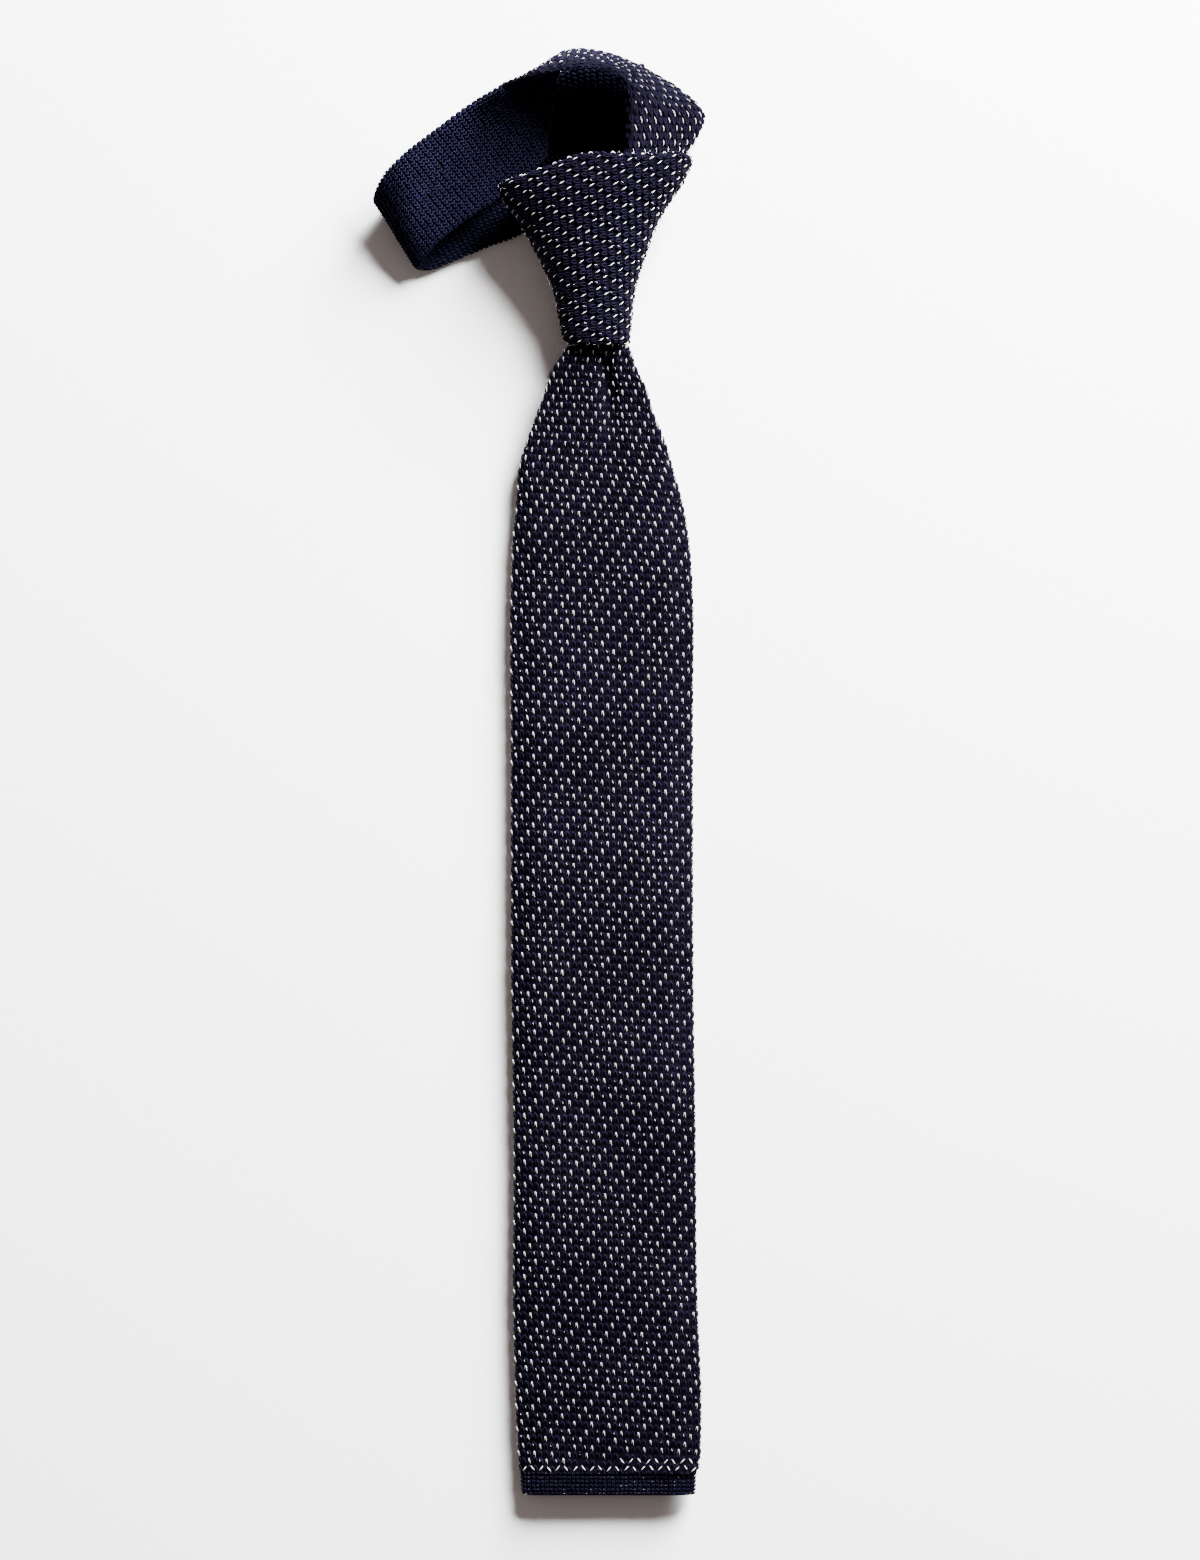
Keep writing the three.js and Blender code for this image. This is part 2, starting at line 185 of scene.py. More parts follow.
def clothOf(points, places):
    ahead = np.roll(points, -1, axis=1) - np.roll(points, 1, axis=1)
    along = np.gradient(points, axis=0)
    normals = np.cross(along, ahead)
    size = np.linalg.norm(normals, axis=2, keepdims=True)
    normals = normals / np.maximum(size, 1e-9)
    outwards = points - points.mean(axis=1, keepdims=True)
    if (normals * outwards).sum() < 0:
        normals = -normals
    return {"points": points, "normals": normals, "places": np.asarray(places, float)}


def onCloth(cloth, place, share, height):
    # points at a place along the cloth and a share of the way around it
    points, normals, places = cloth["points"], cloth["normals"], cloth["places"]
    rows, around = points.shape[:2]
    u = np.interp(place, places, np.arange(rows))
    i = np.clip(np.floor(u).astype(int), 0, rows - 2)
    f = (u - i)[..., None]
    v = (share % 1) * around
    j = np.floor(v).astype(int) % around
    g = (v - np.floor(v))[..., None]
    k = (j + 1) % around

    def blend(a):
        return ((a[i, j] * (1 - f) + a[i + 1, j] * f) * (1 - g)
                + (a[i, k] * (1 - f) + a[i + 1, k] * f) * g)

    return blend(points) + np.asarray(height)[..., None] * blend(normals)


def meshOf(name, points, faces, material, node=None):
    mesh = bpy.data.meshes.new(name)
    points = np.asarray(points) + foot
    points[:, 2] = np.maximum(points[:, 2], 0.02)  # nothing sinks into the table
    mesh.from_pydata(points * 0.001, [], np.asarray(faces))
    mesh.polygons.foreach_set("use_smooth", np.ones(len(mesh.polygons), bool))
    mesh.update()
    mesh.materials.append(material)
    piece = bpy.data.objects.new(name, mesh)
    scene.collection.objects.link(piece)
    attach(piece, "root")
    if node:
        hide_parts(node)
    return piece


def loftOf(name, rings, material, node=None, looped=False):
    # a closed body from rings of equally many points, in triangles
    rings = np.asarray(rings)
    rows, around = rings.shape[:2]
    points = rings.reshape(-1, 3)
    r = np.arange(rows if looped else rows - 1)[:, None]
    i = np.arange(around)[None, :]
    a = r * around + i
    b = r * around + (i + 1) % around
    c = ((r + 1) % rows) * around + i
    d = ((r + 1) % rows) * around + (i + 1) % around
    faces = [np.stack([a, c, d], -1).reshape(-1, 3), np.stack([a, d, b], -1).reshape(-1, 3)]
    if not looped:
        hub = len(points)
        points = np.vstack([points, rings[0].mean(0), rings[-1].mean(0)])
        i = np.arange(around)
        j = (i + 1) % around
        low = (rows - 1) * around
        faces.append(np.stack([np.full(around, hub), i, j], -1))
        faces.append(np.stack([np.full(around, hub + 1), low + j, low + i], -1))
    faces = np.vstack(faces)
    p = points[faces]
    if (p[:, 0] * np.cross(p[:, 1], p[:, 2])).sum() < 0:
        faces = faces[:, ::-1]
    return meshOf(name, points, faces, material, node)


# Stitches

def yarnLoop(path, radii, sides=5, pitch=(knit["column"], knit["course"])):
    # one stitch: a closed bent tube. x is counted in columns, y in courses and
    # height in millimetres. Its first and last points are the yarn's ends.
    path = np.array(path, float)
    scale = np.array([*pitch, 1.0])
    inMm = path * scale
    middle = inMm[1:-1]
    ahead = inMm[2:] - inMm[:-2]
    ahead /= np.linalg.norm(ahead, axis=1, keepdims=True)
    side = np.cross(ahead, [0, 0, 1.0])
    side /= np.maximum(np.linalg.norm(side, axis=1, keepdims=True), 1e-6)
    up = np.cross(side, ahead)
    turns = np.arange(sides) * 2 * math.pi / sides
    rings = (middle[:, None]
             + np.array(radii)[:, None, None]
             * (np.cos(turns)[None, :, None] * side[:, None]
                + np.sin(turns)[None, :, None] * up[:, None]))
    points = np.vstack([rings.reshape(-1, 3), inMm[:1], inMm[-1:]]) / scale
    count = len(middle)
    faces = []
    for r in range(count - 1):
        for i in range(sides):
            a, b = r * sides + i, r * sides + (i + 1) % sides
            faces += [[a, b, b + sides], [a, b + sides, a + sides]]
    first, last = count * sides, count * sides + 1
    for i in range(sides):
        j = (i + 1) % sides
        faces.append([first, j, i])
        faces.append([last, (count - 1) * sides + i, (count - 1) * sides + j])
    return {"points": points, "faces": np.array(faces)}


def stitchesOf(name, groups, material):
    # one piece from groups of like stitches, each group as strewn gives it
    allPoints, allFaces, done = [], [], 0
    for group in groups:
        local = group["stitch"]["points"]
        count = len(group["columns"])
        if not count:
            continue
        size = group["size"][:, None]
        x = group["columns"][:, None] + local[None, :, 0] * size
        y = group["courses"][:, None] + local[None, :, 1] * size
        z = local[None, :, 2] * group["tall"][:, None] + group["lift"][:, None]
        place, share = group["placing"](x, y)
        points = onCloth(group["cloth"], place, share, z).reshape(-1, 3)
        steps = np.arange(count)[:, None, None] * len(local)
        faces = (group["stitch"]["faces"][None] + steps).reshape(-1, 3)
        p = points[faces]
        if (p[:, 0] * np.cross(p[:, 1], p[:, 2])).sum() < 0:
            faces = faces[:, ::-1]  # the placing is a mirror image
        allPoints.append(points)
        allFaces.append(faces + done)
        done += len(points)
    faces = np.vstack(allFaces)
    print(f"  {name}: {len(faces)} triangles")
    return meshOf(name, np.vstack(allPoints), faces, material)


# A white stitch as it stands in the knit: a bright head and two legs that sink
whiteStitch = yarnLoop(
    [[-0.20, 0.40, -0.42], [-0.19, 0.20, -0.18], [-0.15, 0.00, 0.12], [-0.08, -0.20, 0.30],
     [0.01, -0.29, 0.34], [0.08, -0.18, 0.32], [0.14, 0.06, 0.22], [0.18, 0.34, 0.00],
     [0.20, 0.60, -0.42]],
    [0.035, 0.06, 0.095, 0.125, 0.115, 0.09, 0.055], sides=5)
# On the knot the same stitch is pulled over, so that one leg of it shows
hookStitch = yarnLoop(
    [[0.30, -0.36, -0.24], [0.20, -0.24, 0.16], [0.05, -0.06, 0.35], [-0.10, 0.14, 0.28],
     [-0.22, 0.36, 0.02], [-0.26, 0.50, -0.24]],
    [0.075, 0.125, 0.10, 0.06], sides=6)
navyStitch = yarnLoop(
    [[-0.20, 0.58, -0.45], [-0.26, 0.30, -0.02], [-0.24, -0.08, 0.14], [0.00, -0.36, 0.20],
     [0.25, -0.06, 0.14], [0.27, 0.32, -0.02], [0.22, 0.58, -0.45]],
    [0.20, 0.26, 0.27, 0.26, 0.20], sides=5)
fleckStitch = yarnLoop(
    [[-0.30, -0.30, 0.10], [-0.24, -0.16, 0.40], [-0.16, 0.02, 0.42], [-0.10, 0.20, 0.16]],
    [0.05, 0.04], sides=5)
strokeStitch = yarnLoop(
    [[-0.16, -0.46, -0.20], [-0.12, -0.26, 0.22], [0.02, 0.00, 0.36], [0.14, 0.26, 0.18],
     [0.18, 0.48, -0.20]],
    [0.065, 0.09, 0.065], sides=6)


# Materials. Shared effects are node groups, built once.

def groupOf(name, inputs, outputs):
    group = bpy.data.node_groups.new(name, "ShaderNodeTree")
    for label, kind, value in inputs:
        socket = group.interface.new_socket(label, in_out="INPUT", socket_type=kind)
        socket.default_value = value
    for label, kind in outputs:
        group.interface.new_socket(label, in_out="OUTPUT", socket_type=kind)
    return group, group.nodes.new("NodeGroupInput"), group.nodes.new("NodeGroupOutput")


def fibreGroup():
    # fine fibres and the plies of the yarn, as a height and a mask
    group, start, end = groupOf(
        "yarnFibres",
        [("Fibre Scale", "NodeSocketFloat", 2600.0), ("Ply Scale", "NodeSocketFloat", 900.0),
         ("Ply Share", "NodeSocketFloat", 0.5)],
        [("Height", "NodeSocketFloat"), ("Fuzz", "NodeSocketFloat")])
    nodes, links = group.nodes, group.links
    place = nodes.new("ShaderNodeTexCoord")
    fibres = nodes.new("ShaderNodeTexNoise")
    fibres.inputs["Detail"].default_value = 4
    fibres.inputs["Roughness"].default_value = 0.65
    plies = nodes.new("ShaderNodeTexWave")
    plies.bands_direction = "DIAGONAL"
    plies.inputs["Distortion"].default_value = 2.5
    plies.inputs["Detail"].default_value = 2
    mix = nodes.new("ShaderNodeMix")
    fuzz = nodes.new("ShaderNodeMapRange")
    fuzz.inputs["From Min"].default_value = 0.42
    fuzz.inputs["From Max"].default_value = 0.68
    links.new(place.outputs["Object"], fibres.inputs["Vector"])
    links.new(place.outputs["Object"], plies.inputs["Vector"])
    links.new(start.outputs["Fibre Scale"], fibres.inputs["Scale"])
    links.new(start.outputs["Ply Scale"], plies.inputs["Scale"])
    links.new(start.outputs["Ply Share"], mix.inputs["Factor"])
    links.new(fibres.outputs["Fac"], mix.inputs["A"])
    links.new(plies.outputs["Fac"], mix.inputs["B"])
    links.new(fibres.outputs["Fac"], fuzz.inputs["Value"])
    links.new(mix.outputs["Result"], end.inputs["Height"])
    links.new(fuzz.outputs["Result"], end.inputs["Fuzz"])
    return group


def shadeGroup():
    # a dye's own unevenness, from stitch to stitch and over the cloth
    group, start, end = groupOf(
        "dyeUnevenness",
        [("Base", "NodeSocketColor", (0.03, 0.03, 0.06, 1)),
         ("Raised", "NodeSocketColor", (0.06, 0.06, 0.1, 1)),
         ("Fuzz", "NodeSocketFloat", 0.0),
         ("Stitch Scale", "NodeSocketFloat", 420.0),
         ("Cloth Scale", "NodeSocketFloat", 30.0)],
        [("Color", "NodeSocketColor"), ("Roughness", "NodeSocketFloat")])
    nodes, links = group.nodes, group.links
    place = nodes.new("ShaderNodeTexCoord")
    fine = nodes.new("ShaderNodeTexNoise")
    broad = nodes.new("ShaderNodeTexNoise")
    both = nodes.new("ShaderNodeMath")
    both.operation = "ADD"
    spread = nodes.new("ShaderNodeMapRange")
    spread.inputs["From Min"].default_value = 0.75
    spread.inputs["From Max"].default_value = 1.25
    spread.inputs["To Max"].default_value = 0.6
    raised = nodes.new("ShaderNodeMath")
    raised.operation = "MULTIPLY_ADD"
    raised.inputs[1].default_value = 0.5
    raised.use_clamp = True
    mix = nodes.new("ShaderNodeMix")
    mix.data_type = "RGBA"
    rough = nodes.new("ShaderNodeMapRange")
    rough.inputs["To Min"].default_value = 0.95
    rough.inputs["To Max"].default_value = 0.72
    for noise, scale in ((fine, "Stitch Scale"), (broad, "Cloth Scale")):
        noise.inputs["Detail"].default_value = 2
        links.new(place.outputs["Object"], noise.inputs["Vector"])
        links.new(start.outputs[scale], noise.inputs["Scale"])
    links.new(fine.outputs["Fac"], both.inputs[0])
    links.new(broad.outputs["Fac"], both.inputs[1])
    links.new(both.outputs["Value"], spread.inputs["Value"])
    links.new(start.outputs["Fuzz"], raised.inputs[0])
    links.new(spread.outputs["Result"], raised.inputs[2])
    links.new(raised.outputs["Value"], mix.inputs["Factor"])
    links.new(start.outputs["Base"], mix.inputs["A"])
    links.new(start.outputs["Raised"], mix.inputs["B"])
    links.new(raised.outputs["Value"], rough.inputs["Value"])
    links.new(mix.outputs["Result"], end.inputs["Color"])
    links.new(rough.outputs["Result"], end.inputs["Roughness"])
    return group


fibres = fibreGroup()
shades = shadeGroup()


def yarnMaterial(name, base, raised, sheen, sheenTint, bump=0.35):
    # a yarn dyed in two colours, the deep one and that of its raised fibres
    material = bpy.data.materials.new(name)
    material.use_nodes = True
    nodes, links = material.node_tree.nodes, material.node_tree.links
    shader = nodes["Principled BSDF"]
    fibre = nodes.new("ShaderNodeGroup")
    fibre.node_tree = fibres
    shade = nodes.new("ShaderNodeGroup")
    shade.node_tree = shades
    shade.inputs["Base"].default_value = (*base, 1)
    shade.inputs["Raised"].default_value = (*raised, 1)
    relief = nodes.new("ShaderNodeBump")
    relief.inputs["Strength"].default_value = bump
    relief.inputs["Distance"].default_value = 0.0003
    links.new(fibre.outputs["Fuzz"], shade.inputs["Fuzz"])
    links.new(shade.outputs["Color"], shader.inputs["Base Color"])
    links.new(shade.outputs["Roughness"], shader.inputs["Roughness"])
    links.new(fibre.outputs["Height"], relief.inputs["Height"])
    links.new(relief.outputs["Normal"], shader.inputs["Normal"])
    shader.inputs["Specular IOR Level"].default_value = 0.02
    shader.inputs["Sheen Weight"].default_value = sheen
    shader.inputs["Sheen Roughness"].default_value = 0.5
    shader.inputs["Sheen Tint"].default_value = (*sheenTint, 1)
    return material


navyYarn = yarnMaterial("navyYarn", (0.0005, 0.0003, 0.0024), (0.0066, 0.0052, 0.0145),
                        0.004, (0.6, 0.55, 0.8))
whiteYarn = yarnMaterial("whiteYarn", (0.50, 0.46, 0.48), (0.91, 0.88, 0.91),
                         0.02, (1.0, 1.0, 1.0), bump=0.5)
# The knit's ground is the same navy yarn, coloured darker than the stitches as painted shade for
# the gaps between them
navyGroundPaintedShade = yarnMaterial("navyGroundPaintedShade", (0.0004, 0.0002, 0.0015), (0.0016, 0.0012, 0.0040),
                          0.002, (0.6, 0.55, 0.8), bump=0.6)
# The plain face's yarn: its own navy, made lighter than the front's yarn as painted light for the
# shaded inside of the loop
plainYarn = yarnMaterial("plainYarn", (0.0022, 0.0020, 0.0078), (0.0086, 0.0084, 0.0245),
                         0.004, (0.5, 0.55, 0.9))
hemYarn = yarnMaterial("hemYarn", (0.0007, 0.0006, 0.0034), (0.0074, 0.0062, 0.0190),
                       0.003, (0.55, 0.5, 0.85))


# Front blade

gather = {
    "length": 89.0,
    "dimpleDepth": 3.0,
    "dimpleAt": 0.25,      # from the middle to the right edge
    "dimpleWidth": 0.16,
    "dimpleBelow": 0.3,    # how much of the dimple reaches the underside
    "hiddenWidth": 0.8,    # of the knot's lower opening
    "waveSize": 70,
    "waveHeight": 0.35,
}
gatherRows = tableOf("along width drift rest dimple", [
    [0.006, 0.348, 0.046, 0.02, 0.5],
    [0.05, 0.41, 0.034, 0.08, 0.9],
    [0.09, 0.47, 0.026, 0.16, 1.0],
    [0.16, 0.555, 0.033, 0.34, 0.8],
    [0.24, 0.63, 0.030, 0.52, 0.55],
    [0.31, 0.71, 0.032, 0.65, 0.35],
    [0.38, 0.785, 0.032, 0.76, 0.2],
    [0.45, 0.84, 0.032, 0.84, 0.1],
    [0.56, 0.90, 0.051, 0.92, 0.0],
    [0.71, 0.96, 0.059, 0.97, 0.0],
    [0.85, 0.985, 0.065, 1.0, 0.0],
    [1.00, 1.00, 0.065, 1.0, 0.0],
])
hangRows = tableOf("along width drift", [
    [0.0, 1.00, 0.065],
    [0.14, 0.99, 0.065],
    [0.42, 0.99, 0.068],
    [0.63, 0.99, 0.081],
    [0.77, 1.00, 0.081],
    [0.91, 1.01, 0.100],
    [0.98, 0.99, 0.105],
    [1.00, 0.965, 0.100],
])
tailRows = tableOf("along width rest", [
    [0.04, 0.34, 0.15],
    [0.20, 0.50, 0.45],
    [0.45, 0.66, 0.8],
    [0.75, 0.78, 0.97],
    [1.00, 0.84, 1.0],
])
knotRows = tableOf("down halfWidth depth shift", [
    [0.00, 1.10, 1.00, 0.000],
    [0.17, 0.95, 0.97, -0.003],
    [0.25, 0.86, 0.93, -0.012],
    [0.38, 0.70, 0.86, -0.006],
    [0.53, 0.565, 0.78, 0.008],
    [0.71, 0.43, 0.69, 0.022],
    [0.92, 0.365, 0.62, 0.031],
    [1.00, 0.335, 0.59, 0.041],
])
mouthRims = tableOf("angle drop", [
    [0, 0.035], [30, -0.008], [60, 0.005], [90, 0.00], [105, 0.05], [120, 0.09],
    [150, 0.14], [180, 0.18], [190, 0.27], [205, 0.42], [225, 0.50], [270, 0.30],
    [315, 0.20], [345, 0.10], [360, 0.035],
])


def knotSection(down, inset=0.0):
    # the knot's cut, at a share of the way down it
    row = rowAt(knotRows, "down", down)
    middle = row["depth"] * knot["depth"] / 2
    return {
        "halfWidth": row["halfWidth"] * knot["topWidth"] / 2 - inset,
        "halfDepth": middle - inset,
        "x": row["shift"] * knot["topWidth"],
        "y": knot["height"] * (1 - down),
        "z": middle,
    }


def knotPoint(down, turn, inset=0.0):
    section = knotSection(down, inset)
    power = 2 / knot["squareness"]
    cos, sin = np.cos(turn), np.sin(turn)
    return np.stack([
        section["x"] + section["halfWidth"] * np.sign(cos) * np.abs(cos) ** power,
        section["y"] + 0 * turn,
        section["z"] + section["halfDepth"] * np.sign(sin) * np.abs(sin) ** power,
    ], axis=-1)


def knotExit():
    # how the two blades share the knot's lower opening
    section = knotSection(np.array(1.0), knot["wrapThickness"])
    depth = 2 * float(section["halfDepth"])
    spare = 0.11 * depth
    thick = depth - tail["thickness"] - 3 * spare
    floor = float(section["z"]) - depth / 2
    return {
        "width": 2 * float(section["halfWidth"]),
        "x": float(section["x"]),
        "blade": thick,
        "tailMiddle": floor + 1.3 * spare + tail["thickness"] / 2,
        "bladeMiddle": floor + 2.2 * spare + tail["thickness"] + thick / 2,
    }


exitShape = knotExit()
flatHeight = tail["thickness"] + clearance + blade["thickness"] / 2


def bladeShape(down, share):
    # points of the front blade, down its length and around its tube
    inside = down < -0.5  # what the knot's rolled edge hides
    gathered = rowAt(gatherRows, "along", down / gather["length"])
    hanging = rowAt(hangRows, "along",
                    (down - gather["length"]) / (blade["length"] - gather["length"]))
    top = down < gather["length"]
    rest = np.where(top, gathered["rest"], 1.0)
    width = np.where(top, gathered["width"], hanging["width"]) * blade["width"]
    x = np.where(top, gathered["drift"], hanging["drift"]) * blade["width"]
    dimple = np.where(top, gathered["dimple"], 0.0)
    height = mixed(exitShape["bladeMiddle"], flatHeight, rest)
    thick = mixed(exitShape["blade"], blade["thickness"], np.sqrt(np.clip(rest, 0, 1)))
    width = np.where(inside, gather["hiddenWidth"] * exitShape["width"], width)
    x = np.where(inside, exitShape["x"], x)
    dimple = np.where(inside, 0.0, dimple)
    across, up = tubeOutline(width, np.minimum(thick, width - 0.5), share)
    droop = blade["edgeDroop"] * smoothStep(
        np.abs(across), tail["width"] / 2 + blade["thickness"] / 2, blade["width"] / 2)
    offGroove = (2 * across / width - gather["dimpleAt"]) / gather["dimpleWidth"]
    groove = np.exp(-(offGroove ** 2))
    onTop = mixed(gather["dimpleBelow"], 1.0, np.clip(up / blade["thickness"] + 0.5, 0, 1))
    z = height + up - droop - dimple * gather["dimpleDepth"] * groove * onTop
    handled = waves(across, down, gather["waveSize"], gather["waveHeight"], 3)
    z = z + handled * smoothStep(down, 30, 90)
    return np.stack([x + across, -down + 0 * across, z], axis=-1)


def bladeCloth():
    down = np.concatenate([np.linspace(hiddenStart, 90, 110),
                           np.linspace(90, blade["length"], 220)[1:]])
    share = np.arange(264) / 264
    return clothOf(bladeShape(down[:, None], share[None, :]), down)


def sunk(cloth, depth):
    # the ground of the knit, a little under the crests of its stitches
    return cloth["points"] - depth * cloth["normals"]


frontCloth = bladeCloth()
frontGround = loftOf("frontBladeCloth", sunk(frontCloth, knit["sink"])[:, ::2], navyGroundPaintedShade,
                     "front_blade")
print("front blade: cloth made")

# How the stitches lie on the front blade, in columns round its tube. Where it is
# gathered they keep a least distance, and the outer ones roll under its edges.
bladeKnit = {
    "columns": 66,
    "leastColumn": 1.42,
    "middle": 0.065,          # the blade's drift, as a share of its width
    "navyEnd": 0.2,           # the rows stop this far above the hem
    "whiteEnds": (4.2, 6.6),  # left and right, where the joint begins
}
bladeRound = np.linalg.norm(
    frontCloth["points"] - np.roll(frontCloth["points"], 1, axis=1), axis=2).sum(1)


def onBlade(column, course):
    down = course * knit["course"]
    size = np.interp(down, frontCloth["places"], bladeRound)
    share = column * np.maximum(1 / bladeKnit["columns"], bladeKnit["leastColumn"] / size)
    middle = onCloth(frontCloth, down, share, np.zeros_like(down))
    x = middle[..., 0] - bladeKnit["middle"] * blade["width"]
    return down + knit["slope"] * x, share


def lattice(columns, courses, slant=1):
    # the birdseye: in each course, a white stitch, a navy one and a flecked one
    column, course = np.meshgrid(columns, courses, indexing="ij")
    column, course = column.ravel().astype(float), course.ravel().astype(float)
    kind = (column + slant * course) % 3
    return {"white": (column[kind == 0], course[kind == 0]),
            "navy": (column[kind != 0], course[kind != 0]),
            "fleck": (column[kind == 2], course[kind == 2])}


def strewn(cloth, placing, stitch, spots, lift=0.0, sizes=(0.94, 1.08), keep=1.0, tall=None):
    # one stitch at each spot of a lattice, none quite like the next
    column, course = spots
    if keep < 1:
        chosen = rng.random(len(column)) < keep
        column, course = column[chosen], course[chosen]
    count = len(column)
    wander = knit["unevenness"]
    return {
        "cloth": cloth, "placing": placing, "stitch": stitch,
        "columns": column + rng.normal(0, 0.4 * wander, count),
        "courses": course + rng.normal(0, 0.5 * wander, count),
        "size": rng.uniform(*sizes, count),
        "tall": rng.uniform(0.85, 1.15, count) if tall is None else np.full(count, tall),
        "lift": np.full(count, lift) + rng.normal(0, 0.03, count),
    }


base = -knit["sink"] + knit["crest"]


def onFace(kind, spots):
    # all the way to the hem, but white only as far as its joint
    remaining = blade["length"] - onBlade(*spots)[0]
    leftEnd, rightEnd = bladeKnit["whiteEnds"]
    end = bladeKnit["navyEnd"] if kind == "navy" else np.where(spots[0] > 0, rightEnd, leftEnd)
    return spots[0][remaining > end], spots[1][remaining > end]


face = {kind: onFace(kind, spots)
        for kind, spots in lattice(np.arange(-17, 18), np.arange(0, 150)).items()}
frontWhites = stitchesOf("frontBladeWhites", [
    strewn(frontCloth, onBlade, whiteStitch, face["white"], lift=base + 0.10,
           sizes=(0.82, 0.97)),
    strewn(frontCloth, onBlade, fleckStitch, face["fleck"], lift=base + 0.06,
           sizes=(0.6, 1.0), keep=0.5),
], whiteYarn)
frontNavies = stitchesOf("frontBladeNavies", [
    strewn(frontCloth, onBlade, navyStitch, face["navy"], lift=base),
], navyYarn)

# The zigzag over the hem's joint. Pitch and upperFrom are counted in columns, and
# above is each row's height over the blade's end.
joint = {"pitch": 1.5, "above": (2.3, 4.7), "upperFrom": 0, "lift": 0.15}
rising = yarnLoop([[-0.36, 0.36, -0.25], [-0.22, 0.20, 0.16], [0.00, 0.00, 0.28],
                   [0.22, -0.20, 0.16], [0.36, -0.36, -0.25]], [0.07, 0.11, 0.07], sides=6)
falling = {"points": rising["points"] * [1, -1, 1], "faces": rising["faces"]}


def jointSpots(turn):
    # alternate strokes of the zigzag, in one row and on the right in two
    column = np.arange(-16.5 + turn * joint["pitch"], 17, 2 * joint["pitch"])
    upper = column[column > joint["upperFrom"]] + joint["pitch"] / 2
    return (np.concatenate([column, upper]),
            np.repeat(joint["above"], [len(column), len(upper)]) / knit["course"])


def onJoint(column, course):
    return blade["length"] - course * knit["course"], column / bladeKnit["columns"]


jointStrokes = stitchesOf("frontBladeJoint", [
    strewn(frontCloth, onJoint, rising, jointSpots(0), lift=base + joint["lift"]),
    strewn(frontCloth, onJoint, falling, jointSpots(1), lift=base + joint["lift"]),
], whiteYarn)
print("front blade: face stitched")

# Knot: the outer wrap, rolled in at its mouth and at its lower edge

wrapGrid = {"rows": 300, "around": 300, "from": -0.14, "to": 1.12, "groundRings": 64}


def lipPoint(down, turn):
    # the wrap's surface, which goes on over both its edges to the inside
    lip = knot["wrapThickness"] / 2
    high = knot["height"]
    share = lip / high
    angle = np.degrees(turn) % 360
    top = rowAt(mouthRims, "angle", angle)["drop"] + share
    bottom = 1 - share
    over = np.maximum(top - down, 0) * high
    under = np.maximum(down - bottom, 0) * high
    bend = np.minimum(np.maximum(over, under) / lip, math.pi)
    past = np.maximum(np.maximum(over, under) - lip * math.pi, 0) / high
    outside = np.clip(down, top, bottom)
    place = np.where(over > 0, top - share * np.sin(bend) + past,
                     np.where(under > 0, bottom + share * np.sin(bend) - past, outside))
    return knotPoint(place, turn, lip * (1 - np.cos(bend)))


def wrapCloth():
    down = np.linspace(wrapGrid["from"], wrapGrid["to"], wrapGrid["rows"])
    fine = np.linspace(0, 2 * math.pi, 1441)
    ring = knotPoint(np.clip(down, 0, 1)[:, None], math.pi / 2 - fine[None, :])
    steps = np.linalg.norm(np.diff(ring, axis=1), axis=2)
    length = np.hstack([np.zeros((len(down), 1)), np.cumsum(steps, axis=1)])
    shares = np.arange(wrapGrid["around"]) / wrapGrid["around"]
    turns = np.array([
        math.pi / 2 - np.interp(shares * row[-1], row, fine) for row in length])
    cloth = clothOf(lipPoint(down[:, None] + 0 * turns, turns), down)
    cloth["round"] = length[:, -1]
    cloth["turns"] = turns
    return cloth


wrapSurface = wrapCloth()


def wrapGroundRings():
    # down the outside, round the lower lip, up the inside and round the upper lip
    count = wrapGrid["groundRings"]
    last = count - 1
    sink = knit["sink"]
    lip = knot["wrapThickness"] / 2
    share = lip / knot["height"]
    turns = wrapSurface["turns"][::4, ::2]
    turn = np.array([np.interp(np.linspace(0, 1, count), np.linspace(0, 1, len(turns)), column)
                     for column in turns.T]).T
    top = rowAt(mouthRims, "angle", np.degrees(turn) % 360)["drop"] + share

    def side(k, inset):
        return knotPoint(mixed(top[k], 1 - share, k / last), turn[k], inset)

    def rolled(edge, way, turn, bend):
        out = (lip - sink) / knot["height"] * math.sin(math.radians(bend))
        inset = lip - (lip - sink) * math.cos(math.radians(bend))
        return knotPoint(edge + way * out, turn, inset)

    lowEdge = 1 - share + 0 * turn[last]
    return ([side(k, sink) for k in range(count)]
            + [rolled(lowEdge, 1, turn[last], bend) for bend in (45, 90, 135)]
            + [side(k, knot["wrapThickness"] - 0.1) for k in reversed(range(count))]
            + [rolled(top[0], -1, turn[0], bend) for bend in (135, 90, 45)])


knotGround = loftOf("knotWrapCloth", wrapGroundRings(), navyGroundPaintedShade,
                    "knot_wrap", looped=True)

# The wrap's courses run across the knot and its columns down it. Each step is
# given as millimetres to the right and down, as measured in the photo.
wrapKnit = {"course": (2.481, -0.217), "column": (0.107, 1.834)}


def onWrap(column, course):
    across = course * wrapKnit["course"][0] + column * wrapKnit["column"][0]
    down = course * wrapKnit["course"][1] + column * wrapKnit["column"][1]
    place = down / knot["height"]
    section = knotSection(np.clip(place, 0, 1))
    size = np.interp(place, wrapSurface["places"], wrapSurface["round"])
    return place, (across - section["x"]) / size


